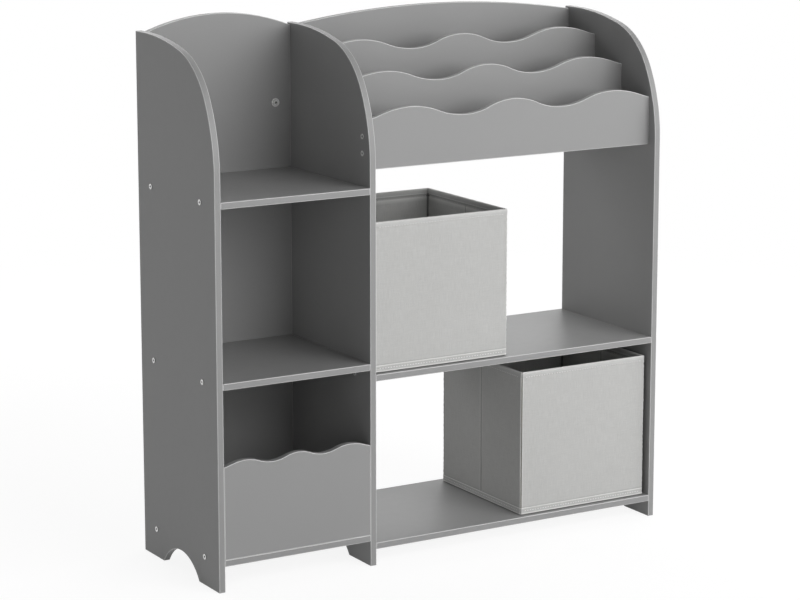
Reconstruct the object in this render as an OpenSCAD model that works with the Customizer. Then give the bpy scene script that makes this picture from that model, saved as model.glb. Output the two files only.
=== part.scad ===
// Kids shelf: an open left bay with a toy trough, a wide right bay with a stepped
// book rack above two shelves, and two fabric bins that stand on those shelves.
// X runs to the right, the front faces -Y, Z is up. The origin is on the floor,
// below the middle of the carcass.

/* [Carcass] */
// Width over the two outer side panels
carcass_w = 930; // [800:1:1200]
// Depth from the front edges to the wall
carcass_d = 300; // [292:1:400]
// Thickness of every board
board_t = 12; // [10:0.5:16]
// Height of the side panels
side_h = 953; // [900:1:1100]
// Clear width of the left bay
left_bay_w = 292; // [240:1:340]

/* [Side panels] */
// Radius of the curve where it leaves the front edge
curve_low_r = 280; // [240:1:320]
// Angle that this lowest arc turns through
curve_low_a = 28; // [20:0.5:34]
// Radius of the middle of the curve
curve_mid_r = 152; // [110:1:180]
// Angle that the middle arc turns through
curve_mid_a = 47.5; // [36:0.5:52]
// Radius of the curve where it runs out into the top edge
curve_top_r = 560; // [400:1:620]
// Width of the arch between the feet, at the floor
foot_arch_w = 142; // [80:1:180]
// Height of the arch between the feet
foot_arch_h = 38.5; // [15:0.5:60]

/* [Back panels] */
// Step from the top of a side panel down to the end of a back panel's arch
back_step = 4; // [1:0.5:12]
// Rise of the left back panel's arch
left_arch_rise = 28; // [10:0.5:45]
// Rise of the rack's back panel's arch
rack_arch_rise = 24.5; // [10:0.5:60]

/* [Left bay] */
// Top face of the bottom shelf, above the floor
left_bottom_top = 58.4; // [50:0.1:90]
// Top face of the middle shelf
left_middle_top = 372.4; // [300:0.1:420]
// Top face of the top shelf
left_top_top = 687.6; // [640:0.1:700]
// Height of the toy trough's front panel, from its lower edge to its crests
toy_panel_h = 174.8; // [110:0.1:218]
// Height of the toy panel's waves, from trough to crest
toy_wave_h = 10; // [4:0.5:20]
// Distance from the middle crest of the toy panel to the troughs beside it
toy_wave_half = 50; // [40:0.5:80]
// How much longer each half wave is than the one before it
toy_wave_grow = 4; // [0:0.5:8]

/* [Right bay] */
// Top face of the bottom shelf, above the floor
right_bottom_top = 42.1; // [40:0.1:60]
// Top face of the middle shelf
right_middle_top = 351.5; // [335:0.1:380]

/* [Book rack] */
// Setback of the rack's front panel from the front edges
rack_setback = 20; // [18:0.5:60]
// Height of the front panel, from its lower edge to its crests
rack_front_h = 106.5; // [70:0.5:130]
// Drop from the top of a side panel to the crests of the front panel
rack_front_drop = 130; // [110:0.5:160]
// Drop from the top of a side panel to the crests of the middle panel
rack_middle_drop = 77; // [60:0.5:105]
// Drop from the top of a side panel to the crests of the rear panel
rack_rear_drop = 29; // [20:0.5:55]
// Height of the rack panels' waves, from trough to crest
rack_wave_h = 21.5; // [10:0.5:36]
// Distance from the middle crest of a rack panel to the troughs beside it
rack_wave_half = 103; // [80:0.5:130]
// How much longer each half wave is than the one before it
rack_wave_grow = 11; // [0:0.5:16]

/* [Connecting screws] */
// Distance of the front screws from the front edges
screw_front = 55; // [35:0.5:65]
// Distance of the rear screws from the wall face
screw_rear = 52; // [36:0.5:65]
// Diameter of the shank
screw_d = 6.4; // [5:0.1:7]
// Length of the shank
screw_l = 50; // [35:1:60]
// Diameter of the head
screw_head_d = 10; // [8.5:0.1:12]
// Height of the head above the board
screw_head_h = 1.2; // [0.6:0.1:1.6]
// Width across the flats of the hexagon key recess
screw_key = 4; // [3:0.1:4.2]
// Height of the rack's lower connecting screws above the rack's lower edge
rack_screw_low = 29.5; // [24:0.5:36]
// Height of the rack's upper connecting screws above the rack's lower edge
rack_screw_high = 59.5; // [48:0.5:66]
// Radial clearance between a screw or dowel and its hole
hole_gap = 0.15; // [0.05:0.05:0.3]
// Space left between the tip of a screw or dowel and the bottom of its hole
tip_gap = 0.8; // [0.3:0.1:2]

/* [Dowels] */
// Diameter of the dowels
dowel_d = 6; // [5:0.1:7]
// Length of the dowels
dowel_l = 25; // [20:1:32]
// Depth of a dowel in the face of a board
dowel_in_face = 8; // [5:0.5:8.5]
// Height between the left bay's top back dowel and the rack's back dowels
back_dowel_stagger = 40; // [12:1:45]

/* [Panel screws] */
// Diameter of the countersunk panel screws
panel_screw_d = 4; // [3:0.1:5]
// Length of the countersunk panel screws
panel_screw_l = 32; // [24:1:40]
// Diameter of their heads
panel_screw_head_d = 8; // [6.5:0.1:9]
// Height of their heads' cones
panel_screw_head_h = 2.4; // [1.6:0.1:3]

/* [Wall fixing] */
// Distance of the wall fixing from the divider
wall_fix_in = 32; // [20:0.5:60]
// Height of the wall fixing above the left top shelf
wall_fix_up = 120.8; // [80:0.1:160]
// Outer diameter of the sleeve through the back panel
sleeve_d = 8; // [7:0.1:9]
// Diameter of the M5 thread inside the sleeve
sleeve_bore_d = 5; // [4:0.1:5.5]
// Diameter of the sleeve's head
sleeve_head_d = 11; // [9.5:0.1:13]
// Height of the sleeve's head
sleeve_head_h = 2; // [1.2:0.1:3]
// Outer diameter of the washer
washer_d = 16; // [14:0.1:20]
// Thickness of the washer
washer_t = 1.2; // [0.8:0.1:2]

/* [Bins] */
// Width of a bin
bin_w = 280; // [220:1:300]
// Depth of a bin
bin_d = 275; // [230:1:277]
// Height of a bin
bin_h = 272; // [220:1:275]
// Setback of the bins from the front edges
bin_setback = 10; // [6:0.5:13]
// Space between the upper bin and the divider
upper_bin_gap = 3; // [2.5:0.5:20]
// Space between the lower bin and the right side panel
lower_bin_gap = 6.5; // [2.5:0.5:20]
// Clearance under a bin and under its base board
rest_gap = 0.3; // [0.2:0.05:0.5]
// Thickness of one layer of the wall fabric
fabric_t = 0.8; // [0.5:0.05:1.2]
// Thickness of the fabric floor
floor_t = 1.2; // [0.8:0.1:2]
// Thickness of the stiffening boards in the walls
stiffener_t = 2.4; // [1.5:0.1:3.2]
// Clearance of a stiffening board in its pocket
pocket_gap = 0.1; // [0.05:0.05:0.3]
// Width of the sewn seam between the two halves of a side wall
seam_w = 5; // [3:0.5:10]
// Width of the sewn seam at the corners and along the floor
edge_seam = 1.5; // [1:0.1:4]
// Thickness of the binding tape along the rim
tape_t = 0.6; // [0.4:0.05:0.8]
// Height of the binding tape
tape_h = 10; // [6:0.5:16]
// Thickness of the loose base board
base_t = 3; // [2:0.1:5]
// Space around the loose base board
base_gap = 1.6; // [1.2:0.1:4]

/* [Hidden] */
$fn = 96;

board_grey = [0.48, 0.48, 0.48];
edge_grey = [0.6, 0.6, 0.6];
fabric_grey = [0.76, 0.76, 0.75];
card_brown = [0.62, 0.52, 0.38];
dowel_wood = [0.85, 0.72, 0.5];
zinc = [0.82, 0.82, 0.82];

// How far a cutter runs past the face that it opens
cut = 1;

// Carcass planes
left_out = -carcass_w / 2;
right_out = carcass_w / 2;
left_in = left_out + board_t;
right_in = right_out - board_t;
divider_left = left_in + left_bay_w;
divider_right = divider_left + board_t;
front = -carcass_d / 2;
wall = carcass_d / 2;
back_front = wall - board_t;

// Side curve: three arcs, each tangent to the next, with their centres measured from
// the front edge and from the floor. Angles count from the front edge upwards
curve_a12 = curve_low_a + curve_mid_a;
curve_rise = curve_low_r * sin(curve_low_a)
  + curve_mid_r * (sin(curve_a12) - sin(curve_low_a))
  + curve_top_r * (1 - sin(curve_a12));
curve_start = side_h - curve_rise;
function along(a, r) = r * [-cos(a), sin(a)];
curve_c1 = [front + curve_low_r, curve_start];
curve_c2 = curve_c1 + along(curve_low_a, curve_low_r - curve_mid_r);
curve_c3 = curve_c2 + along(curve_a12, curve_mid_r - curve_top_r);
// Angle between the points of a curve
curve_step = 2;
function arc_points(centre, r, a0, a1) = let(count = ceil((a1 - a0) / curve_step))
  [for (i = [1:count]) centre + along(a0 + (a1 - a0) * i / count, r)];
curve_points = concat([[front, curve_start]],
  arc_points(curve_c1, curve_low_r, 0, curve_low_a),
  arc_points(curve_c2, curve_mid_r, curve_low_a, curve_a12),
  arc_points(curve_c3, curve_top_r, curve_a12, 90));

// Radius of an arc of a given width and rise
function arc_r(w, rise) = (w * w / 4 + rise * rise) / (2 * rise);
foot_arch_r = arc_r(foot_arch_w, foot_arch_h);

// Heights
back_end = side_h - back_step;
left_bottom_low = left_bottom_top - board_t;
toy_crest = left_bottom_top + toy_panel_h;
rack_front_crest = side_h - rack_front_drop;
rack_middle_crest = side_h - rack_middle_drop;
rack_rear_crest = side_h - rack_rear_drop;
rack_low = rack_front_crest - rack_front_h;
rack_floor_top = rack_low + board_t;
left_tops = [left_bottom_top, left_middle_top, left_top_top];
right_tops = [right_bottom_top, right_middle_top];

// Rack panels: equal slots between the front panel and the back panel
rack_front_y = front + rack_setback;
rack_slot = (back_front - rack_front_y - 3 * board_t) / 3;
rack_middle_y = rack_front_y + board_t + rack_slot;
rack_rear_y = rack_middle_y + board_t + rack_slot;
// Distance between the points of a waved edge
wave_step = 5;
rack_mid_x = (divider_right + right_in) / 2;
rack_w = right_in - divider_right;
left_mid_x = (left_in + divider_left) / 2;

// Connecting screws as [y, z] on the faces of the side panels
shelf_screw_ys = [front + screw_front, wall - screw_rear];
left_screws = [for (top = left_tops) for (y = shelf_screw_ys) [y, top - board_t / 2]];
rack_screws = [for (up = [rack_screw_low, rack_screw_high])
  [rack_front_y + board_t / 2, rack_low + up]];
right_screws = concat(rack_screws,
  [for (top = right_tops) for (y = shelf_screw_ys) [y, top - board_t / 2]]);

// Dowels as [y, z] on the faces of the side panels
dowel_y = (shelf_screw_ys[0] + shelf_screw_ys[1]) / 2;
left_shelf_dowel_places = [for (top = left_tops) [dowel_y, top - board_t / 2]];
right_shelf_dowel_places = [[dowel_y, right_middle_top - board_t / 2]];
toy_end_places = [for (f = [0.25, 0.75]) [front + board_t / 2, left_bottom_top + f * toy_panel_h]];
left_back_dowel_zs = [for (f = [0.14, 0.5, 0.86])
  left_bottom_low + f * (back_end - left_bottom_low)];
left_back_places = [for (z = left_back_dowel_zs) [wall - board_t / 2, z]];
rack_floor_places = [for (f = [0.25, 0.75])
  [rack_front_y + board_t + f * (back_front - rack_front_y - board_t), rack_low + board_t / 2]];
function rack_panel_places(y, crest) = [for (f = [0.3, 0.75])
  [y + board_t / 2, rack_floor_top + f * (crest - rack_wave_h - rack_floor_top)]];
rack_panel_all = concat(rack_panel_places(rack_middle_y, rack_middle_crest),
  rack_panel_places(rack_rear_y, rack_rear_crest));
// The rack's back dowels stand clear of the left bay's top back dowel, because both
// go deep into the divider
rack_back_places = [for (s = [-1, 1])
  [wall - board_t / 2, left_back_dowel_zs[2] + s * back_dowel_stagger]];
left_dowel_places = concat(left_shelf_dowel_places, toy_end_places, left_back_places);
right_dowel_places = concat(right_shelf_dowel_places, rack_floor_places,
  rack_panel_all, rack_back_places);

// Upright dowels between the bottom shelf and the toy trough's front panel, as x
toy_shelf_xs = [for (s = [-0.25, 0.25]) left_mid_x + s * left_bay_w];
// Dowels between the rack's front panel and its floor, as x
rack_front_xs = [for (s = [-0.3, 0, 0.3]) rack_mid_x + s * rack_w];
// Panel screws from behind into the left shelves and the rack floor, as x
left_back_xs = [for (s = [-0.3, 0.3]) left_mid_x + s * left_bay_w];
rack_back_xs = [for (s = [-0.38, 0, 0.38]) rack_mid_x + s * rack_w];
// Panel screws from below into the rack's middle and rear panels, as x
rack_under_xs = [for (s = [-0.34, 0.34]) rack_mid_x + s * rack_w];
rack_under_ys = [rack_middle_y + board_t / 2, rack_rear_y + board_t / 2];

// Wall fixing
wall_fix_x = divider_left - wall_fix_in;
wall_fix_z = left_top_top + wall_fix_up;

// Bins: the middle of each bin's front lower edge
upper_bin_at = [divider_right + upper_bin_gap + bin_w / 2,
  front + bin_setback, right_middle_top + rest_gap];
lower_bin_at = [right_in - lower_bin_gap - bin_w / 2,
  front + bin_setback, right_bottom_top + rest_gap];
bin_wall_t = 2 * (fabric_t + pocket_gap) + stiffener_t;
wall_w = bin_w - 2 * tape_t;
wall_d = bin_d - 2 * tape_t;
wall_top = bin_h - tape_t;
pocket_low = floor_t + edge_seam;
pocket_t = stiffener_t + 2 * pocket_gap;
side_pocket_d = (wall_d - 2 * bin_wall_t - 2 * edge_seam - seam_w) / 2;
side_front_y = tape_t + bin_wall_t + edge_seam;
side_rear_y = side_front_y + side_pocket_d + seam_w;

// A block between two corners
module block(low, high) translate(low) cube(high - low);

// An outline drawn in y and z, one board thick, from x to the right
module slab_x(x) translate([x, 0, 0]) rotate([90, 0, 90]) linear_extrude(board_t) children();

// An outline drawn in x and z, one board thick, from y to the rear
module slab_y(y) translate([0, y + board_t, 0]) rotate([90, 0, 0])
  linear_extrude(board_t) children();

// A round hole or pin along X, starting at x and running len to the right
module rod_x(x, place, d, len) translate([x, place[0], place[1]]) rotate([0, 90, 0])
  cylinder(d = d, h = len);

// The same from x to the left and to the right, for the ends of a shelf
module end_holes(x0, x1, places, d, depth) for (p = places) {
  rod_x(x0 - cut, p, d, depth + cut);
  rod_x(x1 - depth, p, d, depth + cut);
}

// Side panel seen from the side: square at the back, curved at the top front,
// with an arch between its two feet
module side_outline() difference() {
  polygon(concat([[front, 0]], curve_points, [[wall, side_h], [wall, 0]]));
  translate([0, foot_arch_h - foot_arch_r]) circle(foot_arch_r, $fn = 180);
}

// Back panel seen from the front: a plain board with an arched top
module arched_outline(mid_x, w, low, rise) {
  r = arc_r(w, rise);
  translate([mid_x, 0]) intersection() {
    translate([-w / 2, low]) square([w, back_end + rise + cut - low]);
    union() {
      translate([-w, low]) square([2 * w, back_end - rise - low]);
      translate([0, back_end + rise - r]) circle(r, $fn = 720);
    }
  }
}

// Where half wave n starts, counted outwards from the middle crest, and the half
// wave that a distance from the middle lies in
function wave_x(n, half, grow) = n * half + grow * n * (n - 1) / 2;
function wave_at(x, half, grow, n = 0) = x < wave_x(n + 1, half, grow) ? n
  : wave_at(x, half, grow, n + 1);

// Drop below a crest at a distance from it: two arcs, tangent at half the drop
function arc_drop(x, r) = r - sqrt(r * r - x * x);
function crest_drop(x, reach, wave_h) = let(r = arc_r(reach, wave_h / 2))
  x < reach / 2 ? arc_drop(x, r) : wave_h - arc_drop(reach - x, r);
function wave_drop(x, wave_h, half, grow) = let(n = wave_at(x, half, grow),
  x0 = wave_x(n, half, grow), x1 = wave_x(n + 1, half, grow))
  crest_drop(n % 2 == 0 ? x - x0 : x1 - x, x1 - x0, wave_h);

// Panel seen from the front, with a waved top: a crest in the middle, then troughs
// and crests by turns towards both ends
module wave_outline(mid_x, w, low, crest, wave_h, half, grow) {
  count = 2 * ceil(w / 2 / wave_step);
  translate([mid_x, 0]) polygon(concat([[w / 2, low], [-w / 2, low]],
    [for (i = [0:count]) let(x = w * (i / count - 0.5))
      [x, crest - wave_drop(abs(x), wave_h, half, grow)]]));
}

// Holes for the connecting screws right through a side panel
module screw_holes(x, places) for (p = places)
  rod_x(x - cut, p, screw_d + 2 * hole_gap, board_t + 2 * cut);

// Blind dowel holes in a face: s is 1 where the hole runs to the right from x
module face_holes(x, places, s) for (p = places)
  rod_x(s > 0 ? x - cut : x - dowel_in_face - tip_gap / 2, p, dowel_d + 2 * hole_gap,
    dowel_in_face + tip_gap / 2 + cut);

// Shelf with its end holes for two connecting screws and perhaps a dowel
module shelf(x0, x1, y1, top, dowels) {
  z = top - board_t / 2;
  difference() {
    block([x0, front, top - board_t], [x1, y1, top]);
    end_holes(x0, x1, [for (y = shelf_screw_ys) [y, z]], screw_d + 2 * hole_gap,
      screw_l - board_t + tip_gap);
    end_holes(x0, x1, dowels, dowel_d + 2 * hole_gap, dowel_l - dowel_in_face + tip_gap);
  }
}

// Hole for a countersunk screw along +Z, with its mouth at z = 0
module panel_screw_hole() {
  d = panel_screw_d + 2 * hole_gap;
  translate([0, 0, -cut]) cylinder(d = d, h = panel_screw_l + tip_gap + cut);
  cylinder(d1 = panel_screw_head_d + 2 * hole_gap, d2 = d,
    h = panel_screw_head_h * (panel_screw_head_d + 2 * hole_gap - d)
      / (panel_screw_head_d - panel_screw_d));
}

// The same holes placed from behind, running to -Y, and from below, running to +Z
module from_behind(xs, zs) for (x = xs) for (z = zs)
  translate([x, wall, z]) rotate([90, 0, 0]) children();
module from_below(xs, ys) for (x = xs) for (y = ys) translate([x, y, rack_low]) children();

left_back_zs = [for (top = left_tops) top - board_t / 2];
rack_back_zs = [rack_low + board_t / 2];

module left_side_panel() color(board_grey) difference() {
  slab_x(left_out) side_outline();
  screw_holes(left_out, left_screws);
  face_holes(left_in, left_dowel_places, -1);
}

module divider_panel() color(board_grey) difference() {
  slab_x(divider_left) side_outline();
  screw_holes(divider_left, left_screws);
  screw_holes(divider_left, right_screws);
  face_holes(divider_left, left_dowel_places, 1);
  face_holes(divider_right, right_dowel_places, -1);
}

module right_side_panel() color(board_grey) difference() {
  slab_x(right_in) side_outline();
  screw_holes(right_in, right_screws);
  face_holes(right_in, right_dowel_places, 1);
}

module left_back_panel() color(board_grey) difference() {
  slab_y(back_front) arched_outline(left_mid_x, left_bay_w, left_bottom_low, left_arch_rise);
  end_holes(left_in, divider_left, left_back_places, dowel_d + 2 * hole_gap,
    dowel_l - dowel_in_face + tip_gap);
  from_behind(left_back_xs, left_back_zs) panel_screw_hole();
  translate([wall_fix_x, back_front - cut, wall_fix_z]) rotate([-90, 0, 0])
    cylinder(d = sleeve_d + 2 * hole_gap, h = board_t + 2 * cut);
}

module left_shelf(top) difference() {
  shelf(left_in, divider_left, back_front, top, [[dowel_y, top - board_t / 2]]);
  from_behind(left_back_xs, [top - board_t / 2]) panel_screw_hole();
}
module left_top_shelf() color(board_grey) left_shelf(left_top_top);
module left_middle_shelf() color(board_grey) left_shelf(left_middle_top);

module left_bottom_shelf() color(board_grey) difference() {
  left_shelf(left_bottom_top);
  for (x = toy_shelf_xs) toy_shelf_dowel_hole(x);
}

// Upright dowel hole across the joint between the bottom shelf and the toy trough's
// front panel, which stands on the shelf
module toy_shelf_dowel_hole(x) translate([x, front + board_t / 2,
    left_bottom_top - dowel_in_face - tip_gap / 2])
  cylinder(d = dowel_d + 2 * hole_gap, h = dowel_l + 1.5 * tip_gap);

module toy_trough_front() color(edge_grey) difference() {
  slab_y(front) wave_outline(left_mid_x, left_bay_w, left_bottom_top, toy_crest,
    toy_wave_h, toy_wave_half, toy_wave_grow);
  end_holes(left_in, divider_left, toy_end_places, dowel_d + 2 * hole_gap,
    dowel_l - dowel_in_face + tip_gap);
  for (x = toy_shelf_xs) toy_shelf_dowel_hole(x);
}

module right_middle_shelf() color(board_grey)
  shelf(divider_right, right_in, wall, right_middle_top, right_shelf_dowel_places);

module right_bottom_shelf() color(board_grey)
  shelf(divider_right, right_in, wall, right_bottom_top, []);

// Dowel hole across the joint between the rack's front panel and its floor
module rack_front_dowel_hole(x) translate([x,
    rack_front_y + board_t - dowel_in_face - tip_gap / 2, rack_low + board_t / 2])
  rotate([-90, 0, 0]) cylinder(d = dowel_d + 2 * hole_gap, h = dowel_l + 1.5 * tip_gap);

module rack_floor() color(board_grey) difference() {
  block([divider_right, rack_front_y + board_t, rack_low],
    [right_in, back_front, rack_floor_top]);
  end_holes(divider_right, right_in, rack_floor_places, dowel_d + 2 * hole_gap,
    dowel_l - dowel_in_face + tip_gap);
  for (x = rack_front_xs) rack_front_dowel_hole(x);
  from_behind(rack_back_xs, rack_back_zs) panel_screw_hole();
  from_below(rack_under_xs, rack_under_ys) panel_screw_hole();
}

module rack_panel(y, low, crest) slab_y(y)
  wave_outline(rack_mid_x, rack_w, low, crest, rack_wave_h, rack_wave_half, rack_wave_grow);

module rack_front_panel() color(edge_grey) difference() {
  rack_panel(rack_front_y, rack_low, rack_front_crest);
  end_holes(divider_right, right_in, rack_screws, screw_d + 2 * hole_gap,
    screw_l - board_t + tip_gap);
  for (x = rack_front_xs) rack_front_dowel_hole(x);
}

module inner_rack_panel(y, crest) difference() {
  rack_panel(y, rack_floor_top, crest);
  end_holes(divider_right, right_in, rack_panel_places(y, crest), dowel_d + 2 * hole_gap,
    dowel_l - dowel_in_face + tip_gap);
  from_below(rack_under_xs, [y + board_t / 2]) panel_screw_hole();
}
module rack_middle_panel() color(edge_grey) inner_rack_panel(rack_middle_y, rack_middle_crest);
module rack_rear_panel() color(edge_grey) inner_rack_panel(rack_rear_y, rack_rear_crest);

module rack_back_panel() color(board_grey) difference() {
  slab_y(back_front) arched_outline(rack_mid_x, rack_w, rack_low, rack_arch_rise);
  end_holes(divider_right, right_in, rack_back_places, dowel_d + 2 * hole_gap,
    dowel_l - dowel_in_face + tip_gap);
  from_behind(rack_back_xs, rack_back_zs) panel_screw_hole();
}

// Connecting screw along +X: its head lies on the board's face at x = 0
module connecting_screw() rotate([0, 90, 0]) difference() {
  union() {
    translate([0, 0, -screw_head_h]) cylinder(d = screw_head_d, h = screw_head_h);
    cylinder(d = screw_d, h = screw_l);
  }
  translate([0, 0, -screw_head_h - cut])
    cylinder(d = screw_key / cos(30), h = 2 * screw_head_h + cut, $fn = 6);
}

// Connecting screws with their heads on the face at x, running in direction s
module connecting_screws(x, places, s) color(zinc) for (p = places)
  translate([x, p[0], p[1]]) rotate([0, 0, s > 0 ? 0 : 180]) connecting_screw();

module left_side_screws() connecting_screws(left_out, left_screws, 1);
module divider_left_screws() connecting_screws(divider_left, right_screws, 1);
module divider_right_screws() connecting_screws(divider_right, left_screws, -1);
module right_side_screws() connecting_screws(right_out, right_screws, -1);

// Countersunk panel screw along +Z with a cross recess, its head flush at z = 0
module panel_screw() color(zinc) difference() {
  union() {
    cylinder(d1 = panel_screw_head_d, d2 = panel_screw_d, h = panel_screw_head_h);
    cylinder(d = panel_screw_d, h = panel_screw_l);
  }
  for (a = [0, 90]) rotate([0, 0, a])
    cube([panel_screw_head_d / 2, panel_screw_d / 5, panel_screw_head_h], center = true);
}

module left_back_screws() from_behind(left_back_xs, left_back_zs) panel_screw();
module rack_back_screws() from_behind(rack_back_xs, rack_back_zs) panel_screw();
module rack_floor_screws() from_below(rack_under_xs, rack_under_ys) panel_screw();

// Dowel along +Z with its ends eased
module dowel() color(dowel_wood) {
  ease = dowel_d / 10;
  cylinder(d1 = dowel_d - 2 * ease, d2 = dowel_d, h = ease);
  translate([0, 0, ease]) cylinder(d = dowel_d, h = dowel_l - 2 * ease);
  translate([0, 0, dowel_l - ease]) cylinder(d1 = dowel_d, d2 = dowel_d - 2 * ease, h = ease);
}

// Dowels across the joints at both ends of a board between x0 and x1
module end_dowels(x0, x1, places) for (p = places) {
  translate([x0 - dowel_in_face, p[0], p[1]]) rotate([0, 90, 0]) dowel();
  translate([x1 + dowel_in_face, p[0], p[1]]) rotate([0, -90, 0]) dowel();
}

module left_shelf_dowels() end_dowels(left_in, divider_left, left_shelf_dowel_places);
module right_shelf_dowels() end_dowels(divider_right, right_in, right_shelf_dowel_places);
module left_back_dowels() end_dowels(left_in, divider_left, left_back_places);
module rack_panel_dowels() end_dowels(divider_right, right_in, rack_panel_all);
module rack_back_dowels() end_dowels(divider_right, right_in, rack_back_places);

module toy_trough_dowels() {
  end_dowels(left_in, divider_left, toy_end_places);
  for (x = toy_shelf_xs)
    translate([x, front + board_t / 2, left_bottom_top - dowel_in_face]) dowel();
}

module rack_floor_dowels() {
  end_dowels(divider_right, right_in, rack_floor_places);
  for (x = rack_front_xs) translate([x, rack_front_y + board_t - dowel_in_face,
    rack_low + board_t / 2]) rotate([-90, 0, 0]) dowel();
}

// Wall fixing: a washer on the front of the left back panel, and a headed sleeve
// through the panel whose thread opens towards the wall
module wall_fixing_washer() color(zinc)
  translate([wall_fix_x, back_front - washer_t, wall_fix_z]) rotate([-90, 0, 0])
    difference() {
      cylinder(d = washer_d, h = washer_t);
      translate([0, 0, -cut]) cylinder(d = sleeve_d + 2 * hole_gap, h = washer_t + 2 * cut);
    }

module wall_fixing_sleeve() color(zinc)
  translate([wall_fix_x, wall, wall_fix_z]) rotate([90, 0, 0]) difference() {
    union() {
      cylinder(d = sleeve_d, h = board_t + washer_t);
      translate([0, 0, board_t + washer_t]) cylinder(d = sleeve_head_d, h = sleeve_head_h);
    }
    translate([0, 0, -cut]) cylinder(d = sleeve_bore_d, h = board_t - washer_t + cut);
    translate([0, 0, board_t + washer_t + sleeve_head_h / 4])
      cylinder(d = screw_key / cos(30), h = sleeve_head_h, $fn = 6);
  }

// Bin pieces, each drawn about the middle of the bin's front lower edge
module bin_block(w, y0, d, z0, z1) translate([-w / 2, y0, z0]) cube([w, d, z1 - z0]);

module bin_floor() color(fabric_grey) bin_block(wall_w, tape_t, wall_d, 0, floor_t);

// Fabric walls: two layers sewn together round the pockets of six stiffeners
module bin_walls() color(fabric_grey) difference() {
  bin_block(wall_w, tape_t, wall_d, floor_t, wall_top);
  bin_block(wall_w - 2 * bin_wall_t, tape_t + bin_wall_t, wall_d - 2 * bin_wall_t,
    floor_t - cut, wall_top + cut);
  for (y = [tape_t + fabric_t, bin_d - tape_t - bin_wall_t + fabric_t])
    bin_block(wall_w - 2 * edge_seam, y, pocket_t, pocket_low, wall_top + cut);
  for (s = [0, 1]) mirror([s, 0, 0]) for (y = [side_front_y, side_rear_y])
    translate([wall_w / 2 - fabric_t - pocket_t, y, pocket_low])
      cube([pocket_t, side_pocket_d, wall_top - pocket_low + cut]);
}

// Binding tape folded over the rim
module bin_rim() color(fabric_grey) difference() {
  bin_block(bin_w, 0, bin_d, bin_h - tape_h, bin_h);
  bin_block(wall_w - 2 * bin_wall_t - 2 * tape_t, 2 * tape_t + bin_wall_t,
    wall_d - 2 * bin_wall_t - 2 * tape_t, 0, bin_h + cut);
  difference() {
    bin_block(wall_w, tape_t, wall_d, 0, wall_top);
    bin_block(wall_w - 2 * bin_wall_t, tape_t + bin_wall_t, wall_d - 2 * bin_wall_t,
      -cut, bin_h);
  }
}

module cross_stiffener(y) color(card_brown)
  bin_block(wall_w - 2 * edge_seam - 2 * pocket_gap, y + fabric_t + pocket_gap, stiffener_t,
    pocket_low + pocket_gap, wall_top - pocket_gap);
module front_stiffener() cross_stiffener(tape_t);
module rear_stiffener() cross_stiffener(bin_d - tape_t - bin_wall_t);

// Half of a side wall's stiffening: s is 0 on the right and 1 on the left
module side_stiffener(s, y) color(card_brown) mirror([s, 0, 0])
  translate([wall_w / 2 - fabric_t - pocket_gap - stiffener_t, y + pocket_gap,
    pocket_low + pocket_gap])
    cube([stiffener_t, side_pocket_d - 2 * pocket_gap, wall_top - pocket_low - 2 * pocket_gap]);

module bin_base_board() color(fabric_grey)
  bin_block(wall_w - 2 * bin_wall_t - 2 * base_gap, tape_t + bin_wall_t + base_gap,
    wall_d - 2 * bin_wall_t - 2 * base_gap, floor_t + rest_gap, floor_t + rest_gap + base_t);

module upper_bin_floor() translate(upper_bin_at) bin_floor();
module upper_bin_walls() translate(upper_bin_at) bin_walls();
module upper_bin_rim() translate(upper_bin_at) bin_rim();
module upper_bin_front_stiffener() translate(upper_bin_at) front_stiffener();
module upper_bin_rear_stiffener() translate(upper_bin_at) rear_stiffener();
module upper_bin_left_front_stiffener() translate(upper_bin_at) side_stiffener(1, side_front_y);
module upper_bin_left_rear_stiffener() translate(upper_bin_at) side_stiffener(1, side_rear_y);
module upper_bin_right_front_stiffener() translate(upper_bin_at) side_stiffener(0, side_front_y);
module upper_bin_right_rear_stiffener() translate(upper_bin_at) side_stiffener(0, side_rear_y);
module upper_bin_base_board() translate(upper_bin_at) bin_base_board();

module lower_bin_floor() translate(lower_bin_at) bin_floor();
module lower_bin_walls() translate(lower_bin_at) bin_walls();
module lower_bin_rim() translate(lower_bin_at) bin_rim();
module lower_bin_front_stiffener() translate(lower_bin_at) front_stiffener();
module lower_bin_rear_stiffener() translate(lower_bin_at) rear_stiffener();
module lower_bin_left_front_stiffener() translate(lower_bin_at) side_stiffener(1, side_front_y);
module lower_bin_left_rear_stiffener() translate(lower_bin_at) side_stiffener(1, side_rear_y);
module lower_bin_right_front_stiffener() translate(lower_bin_at) side_stiffener(0, side_front_y);
module lower_bin_right_rear_stiffener() translate(lower_bin_at) side_stiffener(0, side_rear_y);
module lower_bin_base_board() translate(lower_bin_at) bin_base_board();

left_side_panel();
divider_panel();
right_side_panel();
left_back_panel();
left_top_shelf();
left_middle_shelf();
left_bottom_shelf();
toy_trough_front();
right_middle_shelf();
right_bottom_shelf();
rack_floor();
rack_front_panel();
rack_middle_panel();
rack_rear_panel();
rack_back_panel();
left_side_screws();
divider_left_screws();
divider_right_screws();
right_side_screws();
left_back_screws();
rack_back_screws();
rack_floor_screws();
left_shelf_dowels();
right_shelf_dowels();
toy_trough_dowels();
left_back_dowels();
rack_floor_dowels();
rack_panel_dowels();
rack_back_dowels();
wall_fixing_washer();
wall_fixing_sleeve();
upper_bin_floor();
upper_bin_walls();
upper_bin_rim();
upper_bin_front_stiffener();
upper_bin_rear_stiffener();
upper_bin_left_front_stiffener();
upper_bin_left_rear_stiffener();
upper_bin_right_front_stiffener();
upper_bin_right_rear_stiffener();
upper_bin_base_board();
lower_bin_floor();
lower_bin_walls();
lower_bin_rim();
lower_bin_front_stiffener();
lower_bin_rear_stiffener();
lower_bin_left_front_stiffener();
lower_bin_left_rear_stiffener();
lower_bin_right_front_stiffener();
lower_bin_right_rear_stiffener();
lower_bin_base_board();
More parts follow.
